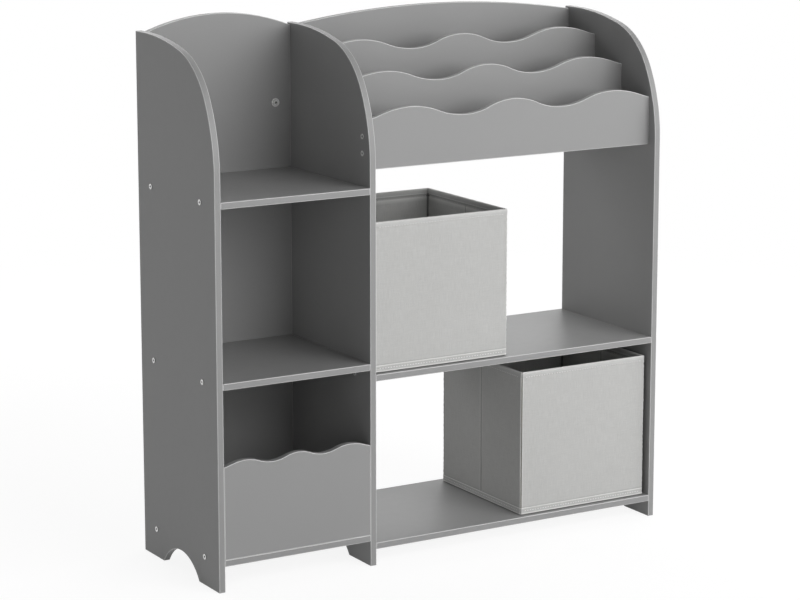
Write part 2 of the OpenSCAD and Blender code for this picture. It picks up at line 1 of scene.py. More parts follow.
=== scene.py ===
"""Kids shelf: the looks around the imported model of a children's shelf with two fabric bins.

Laid out as an add-on and run as a script. Every length is in metres, and every piece
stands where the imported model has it."""

import math

import bpy
import numpy as np
from bpy.props import FloatProperty, FloatVectorProperty, PointerProperty
from mathutils import Matrix, Vector


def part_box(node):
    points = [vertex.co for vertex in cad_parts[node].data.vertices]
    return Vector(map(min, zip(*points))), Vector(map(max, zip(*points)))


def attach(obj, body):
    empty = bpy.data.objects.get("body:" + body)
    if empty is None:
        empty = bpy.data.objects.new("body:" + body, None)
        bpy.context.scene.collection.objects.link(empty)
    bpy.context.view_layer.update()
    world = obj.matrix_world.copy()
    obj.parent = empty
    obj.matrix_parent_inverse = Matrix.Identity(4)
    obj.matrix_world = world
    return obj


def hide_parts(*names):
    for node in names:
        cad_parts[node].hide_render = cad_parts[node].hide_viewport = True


bl_info = {
    "name": "Kids shelf",
    "version": (1, 0, 0),
    "blender": (4, 5, 0),
    "location": "3D View > Sidebar > Kids shelf",
    "description": "Finishes a packed children's shelf with two fabric bins",
    "category": "Add Mesh",
}

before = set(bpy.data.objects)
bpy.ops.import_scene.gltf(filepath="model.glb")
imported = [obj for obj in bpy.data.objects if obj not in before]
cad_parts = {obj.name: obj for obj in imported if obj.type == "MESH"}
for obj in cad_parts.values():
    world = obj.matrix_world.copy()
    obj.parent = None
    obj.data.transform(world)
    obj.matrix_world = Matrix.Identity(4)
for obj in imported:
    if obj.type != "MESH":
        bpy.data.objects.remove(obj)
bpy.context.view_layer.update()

MM = 0.001
# Edges that turn more than this are sharp
SHARP = math.radians(35)
BINS = ("upper_bin", "lower_bin")
BOARDS = (
    "left_side_panel", "divider_panel", "right_side_panel", "left_back_panel",
    "left_top_shelf", "left_middle_shelf", "left_bottom_shelf", "toy_trough_front",
    "right_middle_shelf", "right_bottom_shelf", "rack_floor", "rack_front_panel",
    "rack_middle_panel", "rack_rear_panel", "rack_back_panel",
)
# Each group of fasteners, with the axis and the side on which its heads are
FASTENERS = {
    "left_side_screws": (0, 0), "divider_left_screws": (0, 0),
    "divider_right_screws": (0, 1), "right_side_screws": (0, 1),
    "left_back_screws": (1, 1), "rack_back_screws": (1, 1), "rack_floor_screws": (2, 0),
    "wall_fixing_washer": (1, 0), "wall_fixing_sleeve": (1, 0),
}
DOWELS = (
    "left_shelf_dowels", "right_shelf_dowels", "toy_trough_dowels", "left_back_dowels",
    "rack_floor_dowels", "rack_panel_dowels", "rack_back_dowels",
)
STIFFENERS = ("front", "rear", "left_front", "left_rear", "right_front", "right_rear")


def length(name, default, description, low=0.0, high=1.0):
    """A length in metres for a settings group."""
    return FloatProperty(
        name=name, description=description, default=default, min=low, max=high,
        unit="LENGTH", precision=5,
    )


def share(name, default, description, high=1.0, low=0.0):
    """A plain number for a settings group."""
    return FloatProperty(name=name, description=description, default=default, min=low, max=high)


def angle(name, default, description):
    """An angle for a settings group."""
    return FloatProperty(name=name, description=description, default=default, subtype="ANGLE")


def colour(name, default, description):
    """A linear colour for a settings group."""
    return FloatVectorProperty(
        name=name, description=description, default=default, min=0, max=1,
        size=3, subtype="COLOR",
    )


class BoardSettings(bpy.types.PropertyGroup):
    """Finish of the coated boards."""

    face: colour("Face", (0.325, 0.325, 0.325), "Colour of the coated faces")
    # The rims are lighter than the faces as a painted highlight along the rounded edges
    rim: colour("Rim", (0.6, 0.6, 0.6), "Colour of the rounded rims of the edge bands")
    rounding: length("Rounding", 0.0012, "Radius of a board's edges", 0, 0.003)
    roughness: share("Roughness", 0.46, "Roughness of the coat")
    face_gloss: share("Face gloss", 0.33, "Strength of the mirror light on the faces")
    rim_gloss: share("Rim gloss", 0.9, "Strength of the mirror light on the rounded rims")
    grain: length("Grain", 0.0007, "Size of the coat's fine unevenness", 0.0001, 0.01)
    smooth_angle: angle("Sharp from", SHARP, "Edges that turn more than this are rounded")


class MetalSettings(bpy.types.PropertyGroup):
    """Finish of the zinc-plated fasteners."""

    colour: colour("Zinc", (0.88, 0.88, 0.87), "Colour of the plating")
    # Colour of the painted shade in the sockets and round the heads' feet
    grime: colour("Grime", (0.035, 0.035, 0.035), "Colour deep in the sockets")
    roughness: share("Roughness", 0.3, "Roughness of the plating")
    rounding: length("Rounding", 0.0002, "Radius of the fasteners' edges", 0, 0.001)
    # Depth below a head's face over which the painted shade deepens
    painted_shade_depth: length("Grime depth", 0.0007, "Depth over which a socket darkens", 0.0001)


class BinSettings(bpy.types.PropertyGroup):
    """Sizes and finish of the sewn fabric bins."""

    fabric: colour("Fabric", (0.6, 0.6, 0.588), "Colour of the fabric")
    tape: colour("Tape", (0.61, 0.61, 0.6), "Colour of the rim's binding tape")
    thread: colour("Thread", (0.95, 0.95, 0.94), "Colour of the sewing thread")
    card: colour("Card", (0.24, 0.2, 0.15), "Colour of the stiffening boards")
    weave: length("Weave", 0.0007, "Distance from one thread of the weave to the next", 0.0002)
    corner: length("Corner", 0.004, "Outer radius of the upright corners", 0.001)
    pillow: length("Pillow", 0.0016, "How far a stiffened wall bulges in its middle")
    ripple: length("Ripple", 0.0002, "Depth of the fabric's soft unevenness")
    hem: length("Hem", 0.0136, "Height of the doubled hem along the bottom")
    hem_step: length("Hem step", 0.0007, "Thickness of the doubled hem")
    bottom_roll: length("Bottom roll", 0.0006, "How far the folded lower edge bulges")
    bottom_row: length("Bottom row", 0.0076, "Height of the stitches in the hem")
    top_row: length("Top row", 0.0092, "Depth of the stitches below the top of the rim")
    inner_row: length("Inner row", 0.014, "Depth of the seam inside the bin below its rim")
    crease: length("Crease", 0.0017, "Depth of the crease at a side wall's middle")
    seam: length("Corner seam", 0.0013, "Depth of the sewn groove along an upright corner")
    pucker: length("Pucker", 0.00035, "Depth of the small gathers beside the corner seams")
    stitch: length("Stitch", 0.0044, "Length of one stitch")
    pitch: length("Pitch", 0.0057, "Distance from one stitch to the next", 0.001)
    thread_d: length("Thread size", 0.0015, "Thickness of the sewing thread")
    tape_pull: length("Tape pull", 0.00022, "How far its stitches draw the tape in")
    under_tape: share("Under tape", 0.25, "Share of the ripples that is left at the tape")


class StageSettings(bpy.types.PropertyGroup):
    """Camera, lamps and floor."""

    camera: FloatVectorProperty(
        name="Camera", description="Place of the camera", size=3, unit="LENGTH",
        default=(-2.4199, -4.0312, 1.4297),
    )
    yaw: angle("Yaw", math.radians(30.866), "Turn of the camera to the right")
    pitch: angle("Pitch", math.radians(10.782), "Tilt of the camera below the horizon")
    lens: share("Lens", 117.29, "Focal length in millimetres", 500)
    shift: share("Shift", -0.06, "Upward shift of the lens", 1, -1)
    lamps: share("Lamps", 1.0, "Strength of all lamps together", 10)
    lamp_distance: length("Lamp distance", 5.0, "From the shelf to each lamp", 1, 20)
    aim: length("Aim", 0.5, "Height at which the lamps look")
    ambient: share("Ambient", 0.02, "Strength of the even light from all around", 5)
    floor_glow: share("Floor glow", 0.88, "White of the floor in the deepest shadow")
    floor_shade: share("Floor shade", 0.2, "How much the floor's white varies with its light")
    floor_size: length("Floor", 24.0, "Side of the floor", 1, 100)
    fade_start: length("Fade start", 1.2, "Distance at which the floor starts to whiten", 0, 20)
    fade_run: length("Fade run", 1.6, "Distance over which it turns plain white", 0.1, 20)


# Meshes


def grid_faces(rows, columns, close_rows, close_columns):
    """Corner numbers of the quads between neighbouring points of a grid that is stored
    row by row. A closed direction also joins its last line to its first."""
    row = np.arange(rows if close_rows else rows - 1)
    column = np.arange(columns if close_columns else columns - 1)
    i, j = np.meshgrid(row, column, indexing="ij")
    below, right = (i + 1) % rows, (j + 1) % columns
    quads = np.stack(
        [i * columns + j, i * columns + right, below * columns + right, below * columns + j], -1
    )
    return quads.reshape(-1, 4)


def running_length(points, axis):
    """Length along a grid's lines from their first point, averaged over the lines. The
    last number is the length of the closed line."""
    step = np.linalg.norm(np.roll(points, -1, axis) - points, axis=2).mean(1 - axis)
    return np.concatenate([[0.0], np.cumsum(step)])


def grid_uv(points, faces_shape):
    """UV of each quad corner of a closed grid in metres: the length along the columns
    and the length along the rows, so that a pattern keeps its scale."""
    u, v = running_length(points, 1), running_length(points, 0)
    rows, columns = faces_shape
    i, j = np.meshgrid(np.arange(rows), np.arange(columns), indexing="ij")
    corner_i, corner_j = np.stack([i, i, i + 1, i + 1], -1), np.stack([j, j + 1, j + 1, j], -1)
    return np.stack([u[corner_j], v[corner_i]], -1).reshape(-1, 2)


def outward(points, quads):
    """True where the quads of a closed surface point outwards, from the sign of the
    volume that they enclose."""
    a, b, c, d = (points[quads[:, k]] for k in range(4))
    volume = np.einsum("ij,ij->i", a, np.cross(b, c)) + np.einsum("ij,ij->i", a, np.cross(c, d))
    return volume.sum() > 0


def add_piece(name, points, quads, caps=(), uv=None, shades=None):
    """A smooth mesh piece from its points, its quads, and caps given as rings of point
    numbers. Faces are turned outwards together. Shades are numbers of each point that a
    material reads by their names."""
    flip = not outward(points, quads)
    if flip:
        quads = quads[:, ::-1]
        caps = [cap[::-1] for cap in caps]
    faces = quads.tolist() + [list(map(int, cap)) for cap in caps]
    mesh = bpy.data.meshes.new(name)
    mesh.from_pydata(points.tolist(), [], faces)
    if uv is not None:
        by_face = uv.reshape(-1, 4, 2)
        if flip:
            by_face = by_face[:, ::-1]
        flat = np.zeros((len(mesh.loops), 2), np.float32)
        flat[: by_face.size // 2] = by_face.reshape(-1, 2)
        mesh.uv_layers.new(name="cloth").uv.foreach_set("vector", flat.ravel())
    for shade, values in (shades or {}).items():
        layer = mesh.attributes.new(shade, "FLOAT", "POINT")
        layer.data.foreach_set("value", np.asarray(values, np.float32).ravel())
    mesh.polygons.foreach_set("use_smooth", np.ones(len(mesh.polygons), bool))
    mesh.update()
    piece = bpy.data.objects.new(name, mesh)
    bpy.context.scene.collection.objects.link(piece)
    return piece


def add_ring(name, points, shades=None):
    """A closed piece from a grid that closes both ways, as a tube bent into a ring does."""
    rows, columns = points.shape[:2]
    quads = grid_faces(rows, columns, True, True)
    uv = grid_uv(points, (rows, columns))
    return add_piece(name, points.reshape(-1, 3), quads, uv=uv, shades=shades)


def add_tube(name, rings):
    """A closed piece from rings of points, with a flat cap on the first and last ring."""
    rows, columns = rings.shape[:2]
    quads = grid_faces(rows, columns, False, True)
    caps = [np.arange(columns)[::-1], (rows - 1) * columns + np.arange(columns)]
    uv = grid_uv(rings, (rows - 1, columns))
    return add_piece(name, rings.reshape(-1, 3), quads, caps, uv)


def line(distance, width):
    """Strength of a line by the distance from its middle: a bell curve that is 1 in the
    middle and near 0 past two widths. The width is in millimetres."""
    return np.exp(-((distance / (width * MM)) ** 2))


def ease(x):
    """Smooth step from 0 below -1 to 1 above 1."""
    x = np.clip((x + 1) / 2, 0, 1)
    return x * x * (3 - 2 * x)


def crown(x, power):
    """Dome over -1 to 1 that falls to 0 at both ends: 1 minus an even power, and the
    higher the power, the flatter the dome."""
    return 1 - np.clip(x, -1, 1) ** power


def unevenness(points, size, seed):
    """Soft unevenness in space from about -1 to 1: the sum of ten sine waves of fixed
    random directions and phases, with lengths near the given size."""
    rng = np.random.default_rng(seed)
    direction = rng.normal(size=(10, 3))
    direction /= np.linalg.norm(direction, axis=1, keepdims=True)
    wave = 2 * math.pi / (size * rng.uniform(0.7, 1.6, 10))
    phase = rng.uniform(0, 2 * math.pi, 10)
    return np.sin(points @ (direction.T * wave) + phase).sum(-1) / 3


# Shaders


def arithmetic(operation, reflected=False):
    """The method of a Python operator, which adds a Math node."""

    def method(self, other):
        pair = (other, self) if reflected else (self, other)
        return self.nodes.math(operation, *pair)

    return method


class Value:
    """An output socket on which Python arithmetic adds Math nodes."""

    def __init__(self, nodes, socket):
        self.nodes, self.socket = nodes, socket

    __add__, __radd__ = arithmetic("ADD"), arithmetic("ADD", True)
    __sub__, __rsub__ = arithmetic("SUBTRACT"), arithmetic("SUBTRACT", True)
    __mul__, __rmul__ = arithmetic("MULTIPLY"), arithmetic("MULTIPLY", True)
    __truediv__, __rtruediv__ = arithmetic("DIVIDE"), arithmetic("DIVIDE", True)
    __pow__, __rpow__ = arithmetic("POWER"), arithmetic("POWER", True)

    def math(self, operation, *others):
        return self.nodes.math(operation, self, *others)

    def limited(self):
        """The value kept between 0 and 1."""
        return self.math("MAXIMUM", 0.0).math("MINIMUM", 1.0)


class Nodes:
    """The node tree of a material or a world, which starts with its output alone."""

    def __init__(self, owner, output):
        owner.use_nodes = True
        self.tree = owner.node_tree
        self.tree.nodes.clear()
        self.output = self.tree.nodes.new(output)

    def plug(self, socket, value):
        if isinstance(value, Value):
            self.tree.links.new(value.socket, socket)
        elif value is not None:
            socket.default_value = value

    def show(self, shader):
        self.plug(self.output.inputs["Surface"], shader)

    def node(self, kind, settings=None, out=0, inputs=(), **sockets):
        """Adds a node: its settings first, then the values or links of its sockets, in
        their order or by their names with _ for a space. Gives one of its outputs."""
        made = self.tree.nodes.new(kind)
        for name, value in (settings or {}).items():
            setattr(made, name, value)
        for socket, value in zip(made.inputs, inputs):
            self.plug(socket, value)
        for name, value in sockets.items():
            self.plug(made.inputs[name.replace("_", " ")], value)
        return Value(self, made.outputs[out])

    def math(self, operation, *values):
        return self.node("ShaderNodeMath", {"operation": operation}, inputs=values)

    def split(self, vector):
        """The three numbers of a vector."""
        return [self.node("ShaderNodeSeparateXYZ", out=k, Vector=vector) for k in range(3)]

    def seen(self):
        """1 for rays from the camera, of reflections and through glass, and 0 for light."""
        camera, glossy, through = (
            self.node("ShaderNodeLightPath", out=f"Is {ray} Ray")
            for ray in ("Camera", "Glossy", "Transmission")
        )
        return camera.math("MAXIMUM", glossy).math("MAXIMUM", through)


class Surface(Nodes):
    """The node tree of one material, which starts with a Principled shader. Scales are
    in turns or blotches per metre."""

    def __init__(self, name):
        self.material = bpy.data.materials.new(name)
        super().__init__(self.material, "ShaderNodeOutputMaterial")
        self.finish = self.node("ShaderNodeBsdfPrincipled")
        self.show(self.finish)

    def coordinate(self, kind="Object"):
        return self.node("ShaderNodeTexCoord", out=kind)

    def shade(self, name):
        """A number that a piece's points carry, or 0 where they don't."""
        return self.node("ShaderNodeAttribute", {"attribute_name": name}, out="Fac")

    def scaled(self, vector, scale):
        return self.node("ShaderNodeMapping", Vector=vector, Scale=scale)

    def noise(self, vector, scale, detail=2.0, roughness=0.5):
        return self.node(
            "ShaderNodeTexNoise", Vector=vector, Scale=scale, Detail=detail, Roughness=roughness
        )

    def mix(self, low, high, factor):
        """Blend of two colours, whose sockets come after five for numbers and vectors."""
        low, high = (c if isinstance(c, Value) else (*c, 1) for c in (low, high))
        inputs = (factor, *[None] * 5, low, high)
        return self.node("ShaderNodeMix", {"data_type": "RGBA"}, 2, inputs)

    def bump(self, height, distance, strength=1.0):
        return self.node("ShaderNodeBump", Strength=strength, Distance=distance, Height=height)

    def set(self, **sockets):
        """Sets or links sockets of the Principled shader."""
        for name, value in sockets.items():
            self.plug(self.finish.socket.node.inputs[name.replace("_", " ")], value)
        return self.material


def tone(colour, factor):
    """A colour made lighter or darker."""
    return tuple(min(1.0, channel * factor) for channel in colour)


def board_material(name, colour, gloss, settings):
    """Coated board: nearly even, with soft clouds in the colour, and a fine orange-peel
    unevenness in gloss and surface."""
    s = Surface(name)
    place = s.coordinate()
    clouds = s.noise(place, 5.0, 3.0)
    peel = s.noise(place, 1 / settings.grain, 2.0)
    patches = s.noise(place, 60.0, 3.0)
    base = s.mix(tone(colour, 0.97), tone(colour, 1.03), clouds)
    speck = s.mix(tone(colour, 0.975), tone(colour, 1.025), peel)
    base = s.mix(base, speck, 0.5)
    roughness = patches * 0.1 + peel * 0.06 + (settings.roughness - 0.08)
    return s.set(
        Base_Color=base, Roughness=roughness, Normal=s.bump(peel, 0.04 * MM),
        Specular_IOR_Level=gloss,
    )


def metal_material(name, settings):
    """Satin zinc plating: cloudy and finely scratched, with painted shade below the faces of the
    heads, in their sockets and round their feet."""
    s = Surface(f"zinc_{name}")
    axis, end = FASTENERS[name]
    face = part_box(name)[end][axis]
    place = s.coordinate()
    along = s.split(place)[axis]
    below = face - along if end else along - face
    # Painted shade below the heads' faces: in the sockets and round the heads' feet
    grime = (below / settings.painted_shade_depth - 0.35).limited()
    clouds = s.noise(place, 380.0, 3.0)
    scratches = s.noise(s.scaled(place, (1.0, 0.15, 1.0)), 5200.0, 2.0)
    base = s.mix(tone(settings.colour, 0.8), tone(settings.colour, 1.1), clouds)
    base = s.mix(base, settings.grime, grime * 0.92)
    roughness = clouds * 0.16 + scratches * 0.1 + (settings.roughness - 0.13) + grime * 0.3
    return s.set(
        Base_Color=base, Metallic=0.6, Roughness=roughness,
        Normal=s.bump(scratches, 0.02 * MM),
    )


def beech_material():
    """Turned beech: pale, with short darker flecks along the grain."""
    s = Surface("beech_wood")
    place = s.coordinate()
    grain = s.noise(s.scaled(place, (60.0, 900.0, 900.0)), 1.0, 3.0)
    flecks = s.noise(s.scaled(place, (250.0, 2600.0, 2600.0)), 1.0, 1.0)
    base = s.mix((0.62, 0.43, 0.25), (0.78, 0.6, 0.38), grain)
    base = s.mix(base, (0.4, 0.25, 0.13), flecks ** 6.0)
    return s.set(Base_Color=base, Roughness=grain * 0.2 + 0.5, Normal=s.bump(grain, 0.05 * MM))


def card_material(settings):
    """Stiffening board: brown recycled card with dark and pale fibres."""
    s = Surface("brown_card")
    place = s.coordinate()
    fibres = s.noise(s.scaled(place, (1.0, 1.0, 0.3)), 1400.0, 4.0, 0.7)
    base = s.mix(tone(settings.card, 0.6), tone(settings.card, 1.5), fibres)
    return s.set(Base_Color=base, Roughness=fibres * 0.2 + 0.75, Normal=s.bump(fibres, 0.08 * MM))


def weave_height(s, place, pitch):
    """Plain weave: over and under threads by turns. Each thread is a rounded ridge, and
    the parity of the square decides which of the two is on top."""
    across, up = (part / pitch for part in s.split(place)[:2])
    over = ((across.math("FLOOR") + up.math("FLOOR")) * 0.5).math("FRACT") * 2.0
    ridge_a = (across.math("FRACT") * math.pi).math("SINE")
    ridge_b = (up.math("FRACT") * math.pi).math("SINE")
    return ridge_a * over + ridge_b * (1 - over)


def fabric_material(name, colour, pitch, slub):
    """Linen-look fabric: a plain weave, uneven slubbed threads both ways, and soft clouds. It has
    painted shade in its grooves and painted highlights on its folds, which its points carry."""
    s = Surface(name)
    cloth = s.coordinate("UV")
    weave = weave_height(s, cloth, pitch)
    upright = s.noise(s.scaled(cloth, (640.0, 45.0, 1.0)), 1.0, 4.0, 0.65)
    level = s.noise(s.scaled(cloth, (38.0, 640.0, 1.0)), 1.0, 4.0, 0.65)
    clouds = s.noise(cloth, 24.0, 3.0)
    fuzz = s.noise(cloth, 2600.0, 2.0)
    threads = upright * 0.58 + level * 0.42
    base = s.mix(tone(colour, 1 - slub), tone(colour, 1 + slub), (threads - 0.5) * 2.6 + 0.5)
    base = s.mix(base, tone(colour, 0.72), (1 - weave) ** 2.0 * 0.3)
    base = s.mix(base, tone(colour, 1.06), clouds * 0.2)
    # Painted highlights on the folds and painted shade in the grooves, from the marks that the
    # points carry
    base = s.mix(base, tone(colour, 1.55), s.shade("fold") * 0.9)
    base = s.mix(base, tone(colour, 0.22), s.shade("groove") * 0.9)
    height = weave + threads * 1.4 + fuzz * 0.35
    return s.set(
        Base_Color=base, Roughness=fuzz * 0.12 + 0.8, Normal=s.bump(height, 0.18 * MM, 0.8),
        Specular_IOR_Level=0.25, Sheen_Weight=0.12, Sheen_Roughness=0.5,
    )


def thread_material(settings):
    """Twisted sewing thread: fine slanting plies along its length, with painted shade where a
    stitch goes into its needle holes."""
    s = Surface("sewing_thread")
    place = s.coordinate()
    plies = s.node(
        "ShaderNodeTexWave", {"bands_direction": "DIAGONAL"}, out="Fac",
        Vector=place, Scale=900.0, Distortion=1.5,
    )
    base = s.mix(tone(settings.thread, 0.88), settings.thread, plies)
    # Painted shade at the stitch's ends, where it sinks into its needle holes
    base = s.mix(base, tone(settings.thread, 0.22), s.shade("end"))
    return s.set(
        Base_Color=base, Roughness=plies * 0.1 + 0.5, Normal=s.bump(plies, 0.06 * MM),
        Sheen_Weight=0.2,
    )


# Carried-over nodes


def joined_surface(angle):
    """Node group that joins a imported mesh's loose triangles and shades it smooth except
    at edges that turn more than the angle."""
    group = bpy.data.node_groups.new("joined_surface", "GeometryNodeTree")
    for way in ("INPUT", "OUTPUT"):
        group.interface.new_socket("Geometry", in_out=way, socket_type="NodeSocketGeometry")
    kinds = (
        "NodeGroupInput", "GeometryNodeRemoveAttribute", "GeometryNodeMergeByDistance",
        "GeometryNodeSetShadeSmooth", "GeometryNodeSetShadeSmooth", "NodeGroupOutput",
    )
    chain = [group.nodes.new(kind) for kind in kinds]
    for before, after in zip(chain, chain[1:]):
        group.links.new(before.outputs[0], after.inputs[0])
    chain[1].inputs["Name"].default_value = "custom_normal"
    chain[2].inputs["Distance"].default_value = 0.01 * MM
    turn = group.nodes.new("GeometryNodeInputMeshEdgeAngle")
    sharp = group.nodes.new("FunctionNodeCompare")
    sharp.inputs[1].default_value = angle
    group.links.new(turn.outputs["Unsigned Angle"], sharp.inputs[0])
    chain[4].domain = "EDGE"
    chain[4].inputs["Shade Smooth"].default_value = False
    group.links.new(sharp.outputs[0], chain[4].inputs["Selection"])
    return group


def finish_node(name, materials, rounding=0.0, group=None, angle=SHARP):
    """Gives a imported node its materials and, with a rounding, softly rounded edges. The
    second material goes on the rounded rims."""
    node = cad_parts[name]
    node.data.materials.clear()
    for material in materials:
        node.data.materials.append(material)
    if group:
        node.modifiers.new("joined", "NODES").node_group = group
        flat = node.modifiers.new("flat", "DECIMATE")
        flat.decimate_type, flat.angle_limit = "DISSOLVE", math.radians(0.5)
        cut = node.modifiers.new("cut", "TRIANGULATE")
        cut.ngon_method, cut.min_vertices = "BEAUTY", 5
    if rounding:
        rims = node.modifiers.new("rims", "BEVEL")
        rims.limit_method, rims.angle_limit = "ANGLE", angle
        rims.width, rims.segments = rounding, 3
        rims.use_clamp_overlap, rims.loop_slide, rims.harden_normals = False, False, True
        rims.material = len(materials) - 1


class KIDS_SHELF_OT_boards(bpy.types.Operator):
    """Finish the carcass boards: coated faces and rounded edge bands"""

    bl_idname = "kids_shelf.boards"
    bl_label = "Boards"

    def execute(self, context):
        settings = context.scene.shelf_boards
        materials = [
            board_material("coated_board", settings.face, settings.face_gloss, settings),
            # The rims' material is lighter than the faces' as a painted highlight on the rounded
            # edges
            board_material("edge_band_painted_highlight", settings.rim, settings.rim_gloss, settings),
        ]
        group = joined_surface(settings.smooth_angle)
        for name in BOARDS:
            finish_node(name, materials, settings.rounding, group, settings.smooth_angle)
        return {"FINISHED"}


class KIDS_SHELF_OT_fasteners(bpy.types.Operator):
    """Finish the screws and the wall fixing in zinc plating, and the dowels in beech"""

    bl_idname = "kids_shelf.fasteners"
    bl_label = "Fasteners"

    def execute(self, context):
        settings = context.scene.shelf_metal
        group = joined_surface(SHARP)
        for name in FASTENERS:
            finish_node(name, [metal_material(name, settings)], settings.rounding, group)
        beech = beech_material()
        for name in DOWELS:
            finish_node(name, [beech])
        return {"FINISHED"}


# Bins


# Distance of a corner's two rolls from its groove, and their width in millimetres
ROLL_AT, ROLL_WIDTH = 1.9 * MM, 0.85


class BinShape:
    """One bin's box and walls in the frame, and the path that its walls follow.

    The path is a rectangle with rounded corners, seen from above, that runs
    anticlockwise from the front left corner. It is held as arrays over its points: place
    on the outer and on the inner face, outward normal, side number, share along the side
    from -1 to 1, distance round the corner from its middle, which is far on a straight
    run, and distance from the nearest corner."""

    def __init__(self, name, settings):
        low, high = np.array(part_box(f"{name}_rim"))
        wall_low, wall_high = np.array(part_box(f"{name}_walls"))
        floor_low, floor_high = np.array(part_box(f"{name}_floor"))
        board = np.array(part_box(f"{name}_front_stiffener"))
        self.name, self.settings = name, settings
        self.base = floor_low[2]
        self.floor_top = floor_high[2] - self.base
        self.height = high[2] - self.base
        self.tape = wall_low[0] - low[0]
        self.tape_edge = low[2] - self.base
        self.centre = (low + high)[:2] / 2
        self.half = (wall_high - wall_low)[:2] / 2
        # The front stiffener lies in the middle of the wall's thickness
        self.wall = 2 * (board[:, 1].mean() - wall_low[1])
        self.walk()

    def walk(self):
        """Works out the path: per side a straight run with close points at the crease
        and near the corners, then a quarter circle."""
        corner = self.settings.corner
        inner_corner, crease_zone, corner_zone, far = 0.6 * MM, 7 * MM, 14 * MM, 1.0
        turns = np.linspace(0, math.pi / 2, 25)[:-1]
        out, inside, normal, side, along, arcs = [], [], [], [], [], []
        for k in range(4):
            angle = (k - 1) * math.pi / 2
            facing = np.array([math.cos(angle), math.sin(angle)])
            running = np.array([-facing[1], facing[0]])
            run = abs(running @ self.half) - corner
            close = crease_zone / run
            end = 1 - np.linspace(0, corner_zone, 8) / run
            t = [np.linspace(-1, 1, 45), np.linspace(-close, close, 21), end, -end]
            t = np.unique(np.round(np.concatenate(t), 5))[:-1]
            reach = facing * abs(facing @ self.half)
            shift = running * run
            out.append(reach + t[:, None] * shift)
            inside.append(reach - facing * self.wall + t[:, None] * shift
                          * (run + corner - self.wall - inner_corner) / run)
            normal.append(np.repeat(facing[None], len(t), 0))
            quarter = np.stack([np.cos(angle + turns), np.sin(angle + turns)], -1)
            middle = facing * (abs(facing @ self.half) - corner) + shift
            out.append(middle + corner * quarter)
            pulled = self.wall + inner_corner - corner
            inside.append(middle - (facing + running) * pulled + inner_corner * quarter)
            normal.append(quarter)
            side.append(np.full(len(t) + len(turns), k))
            along.append(np.concatenate([t, np.ones(len(turns))]))
            arcs.append(np.concatenate([np.full(len(t), far), (turns - math.pi / 4) * corner]))
        self.out, self.inside = np.concatenate(out), np.concatenate(inside)
        self.normal = np.concatenate(normal)
        self.side, self.along = np.concatenate(side), np.concatenate(along)
        self.arc = np.concatenate(arcs)
        self.straight = self.arc == far
        deep = self.side % 2 == 1
        self.side_wall = deep & self.straight
        run = np.where(deep, self.half[1], self.half[0]) - corner
        self.from_corner = np.where(self.straight, (1 - np.abs(self.along)) * run, 0.0)

    def place(self, inward, z, relief=0.0):
        """Points at a distance inwards from the outer face and at a height above the
        bin's bottom, for each row, pushed outwards by a relief. Between the faces a
        point's place is blended from the outer and the inner path."""
        depth = (np.asarray(inward) / self.wall)[:, None, None]
        flat = (1 - depth) * self.out + depth * self.inside
        flat = flat + self.normal * np.asarray(relief)[..., None] + self.centre
        height = np.broadcast_to(np.asarray(z)[:, None] + self.base, flat.shape[:2])
        return np.concatenate([flat, height[..., None]], -1)

    def marks(self, z):
        """Where the walls' marks lie, as numbers from 0 to 1 for each height and each
        point of the path: the wall between hem and tape, the crease at the middle of the
        side walls with a lip on each side, and the groove along each corner with a roll on
        each side. Each line is a bell curve across it."""
        s, z = self.settings, np.asarray(z)[:, None]
        high = self.height - s.top_row
        body = ease((z - s.hem) / (2 * MM)) * ease((high - z) / (3 * MM))
        side_wall = body * self.side_wall
        from_middle = self.along * self.half[1]
        return (
            body, side_wall * line(from_middle, 1.1),
            side_wall * line(np.abs(from_middle) - 3.6 * MM, 1.6),
            line(self.arc, 0.7), line(np.abs(self.arc) - ROLL_AT, ROLL_WIDTH),
        )

    def relief(self, z, inner=False):
        """How far the fabric stands proud of a wall's flat face, for each height and each
        point of the path. Outside it is the sum of a pillow over each stiffener, the
        doubled hem with its rolled lower edge, a dimple along the stitches, the crease,
        and the corners' rolls and grooves. Inside it is the pillow, the crease and the
        pocket seam."""
        s = self.settings
        body, crease, lips, groove, rolls = self.marks(z)
        z = np.asarray(z)[:, None]
        span = np.where(self.side_wall, 2 * np.abs(self.along) - 1, self.along)
        low, high = s.hem, self.height - s.top_row
        rise = crown((2 * z - low - high) / (high - low), 4)
        pillow = self.straight * s.pillow * crown(span, 2) * rise
        fold = 0.25 * s.crease * lips - s.crease * crease
        if inner:
            seam = 0.5 * MM * line(z - self.height + s.inner_row, 0.7)
            return 0.6 * pillow + 0.8 * fold - seam
        hem = s.hem_step * ease((s.hem - z) / (0.25 * MM))
        roll = s.bottom_roll * line(z - 2.3 * MM, 1.1)
        dimple = -0.35 * MM * line(z - s.bottom_row, 0.9)
        ends = 1 + 1.6 * line(high - 5 * MM - z, 6)
        pucker = s.pucker * ends * body * self.gathers(z) * line(self.from_corner, 7)
        seam = (0.5 * s.seam * rolls - s.seam * groove) * (0.35 + 0.65 * body)
        return pillow + fold + hem + roll + dimple + seam + pucker

    def shades(self, z, inner):
        """The walls' painted shade in grooves and painted highlights on folds, from 0 to 1 for
        each height and each point of the path: at the crease, the corners, the lines above and
        along the hem, below the tape and under the bin, and inside the bin at its corners and
        pocket seam."""
        s = self.settings
        _, crease, lips, groove, rolls = self.marks(z)
        z, inner = np.asarray(z)[:, None], inner[:, None]
        below_tape = line(z - self.tape_edge + 0.7 * MM, 0.7)
        seam, hem = z - self.height + s.inner_row, z - s.hem
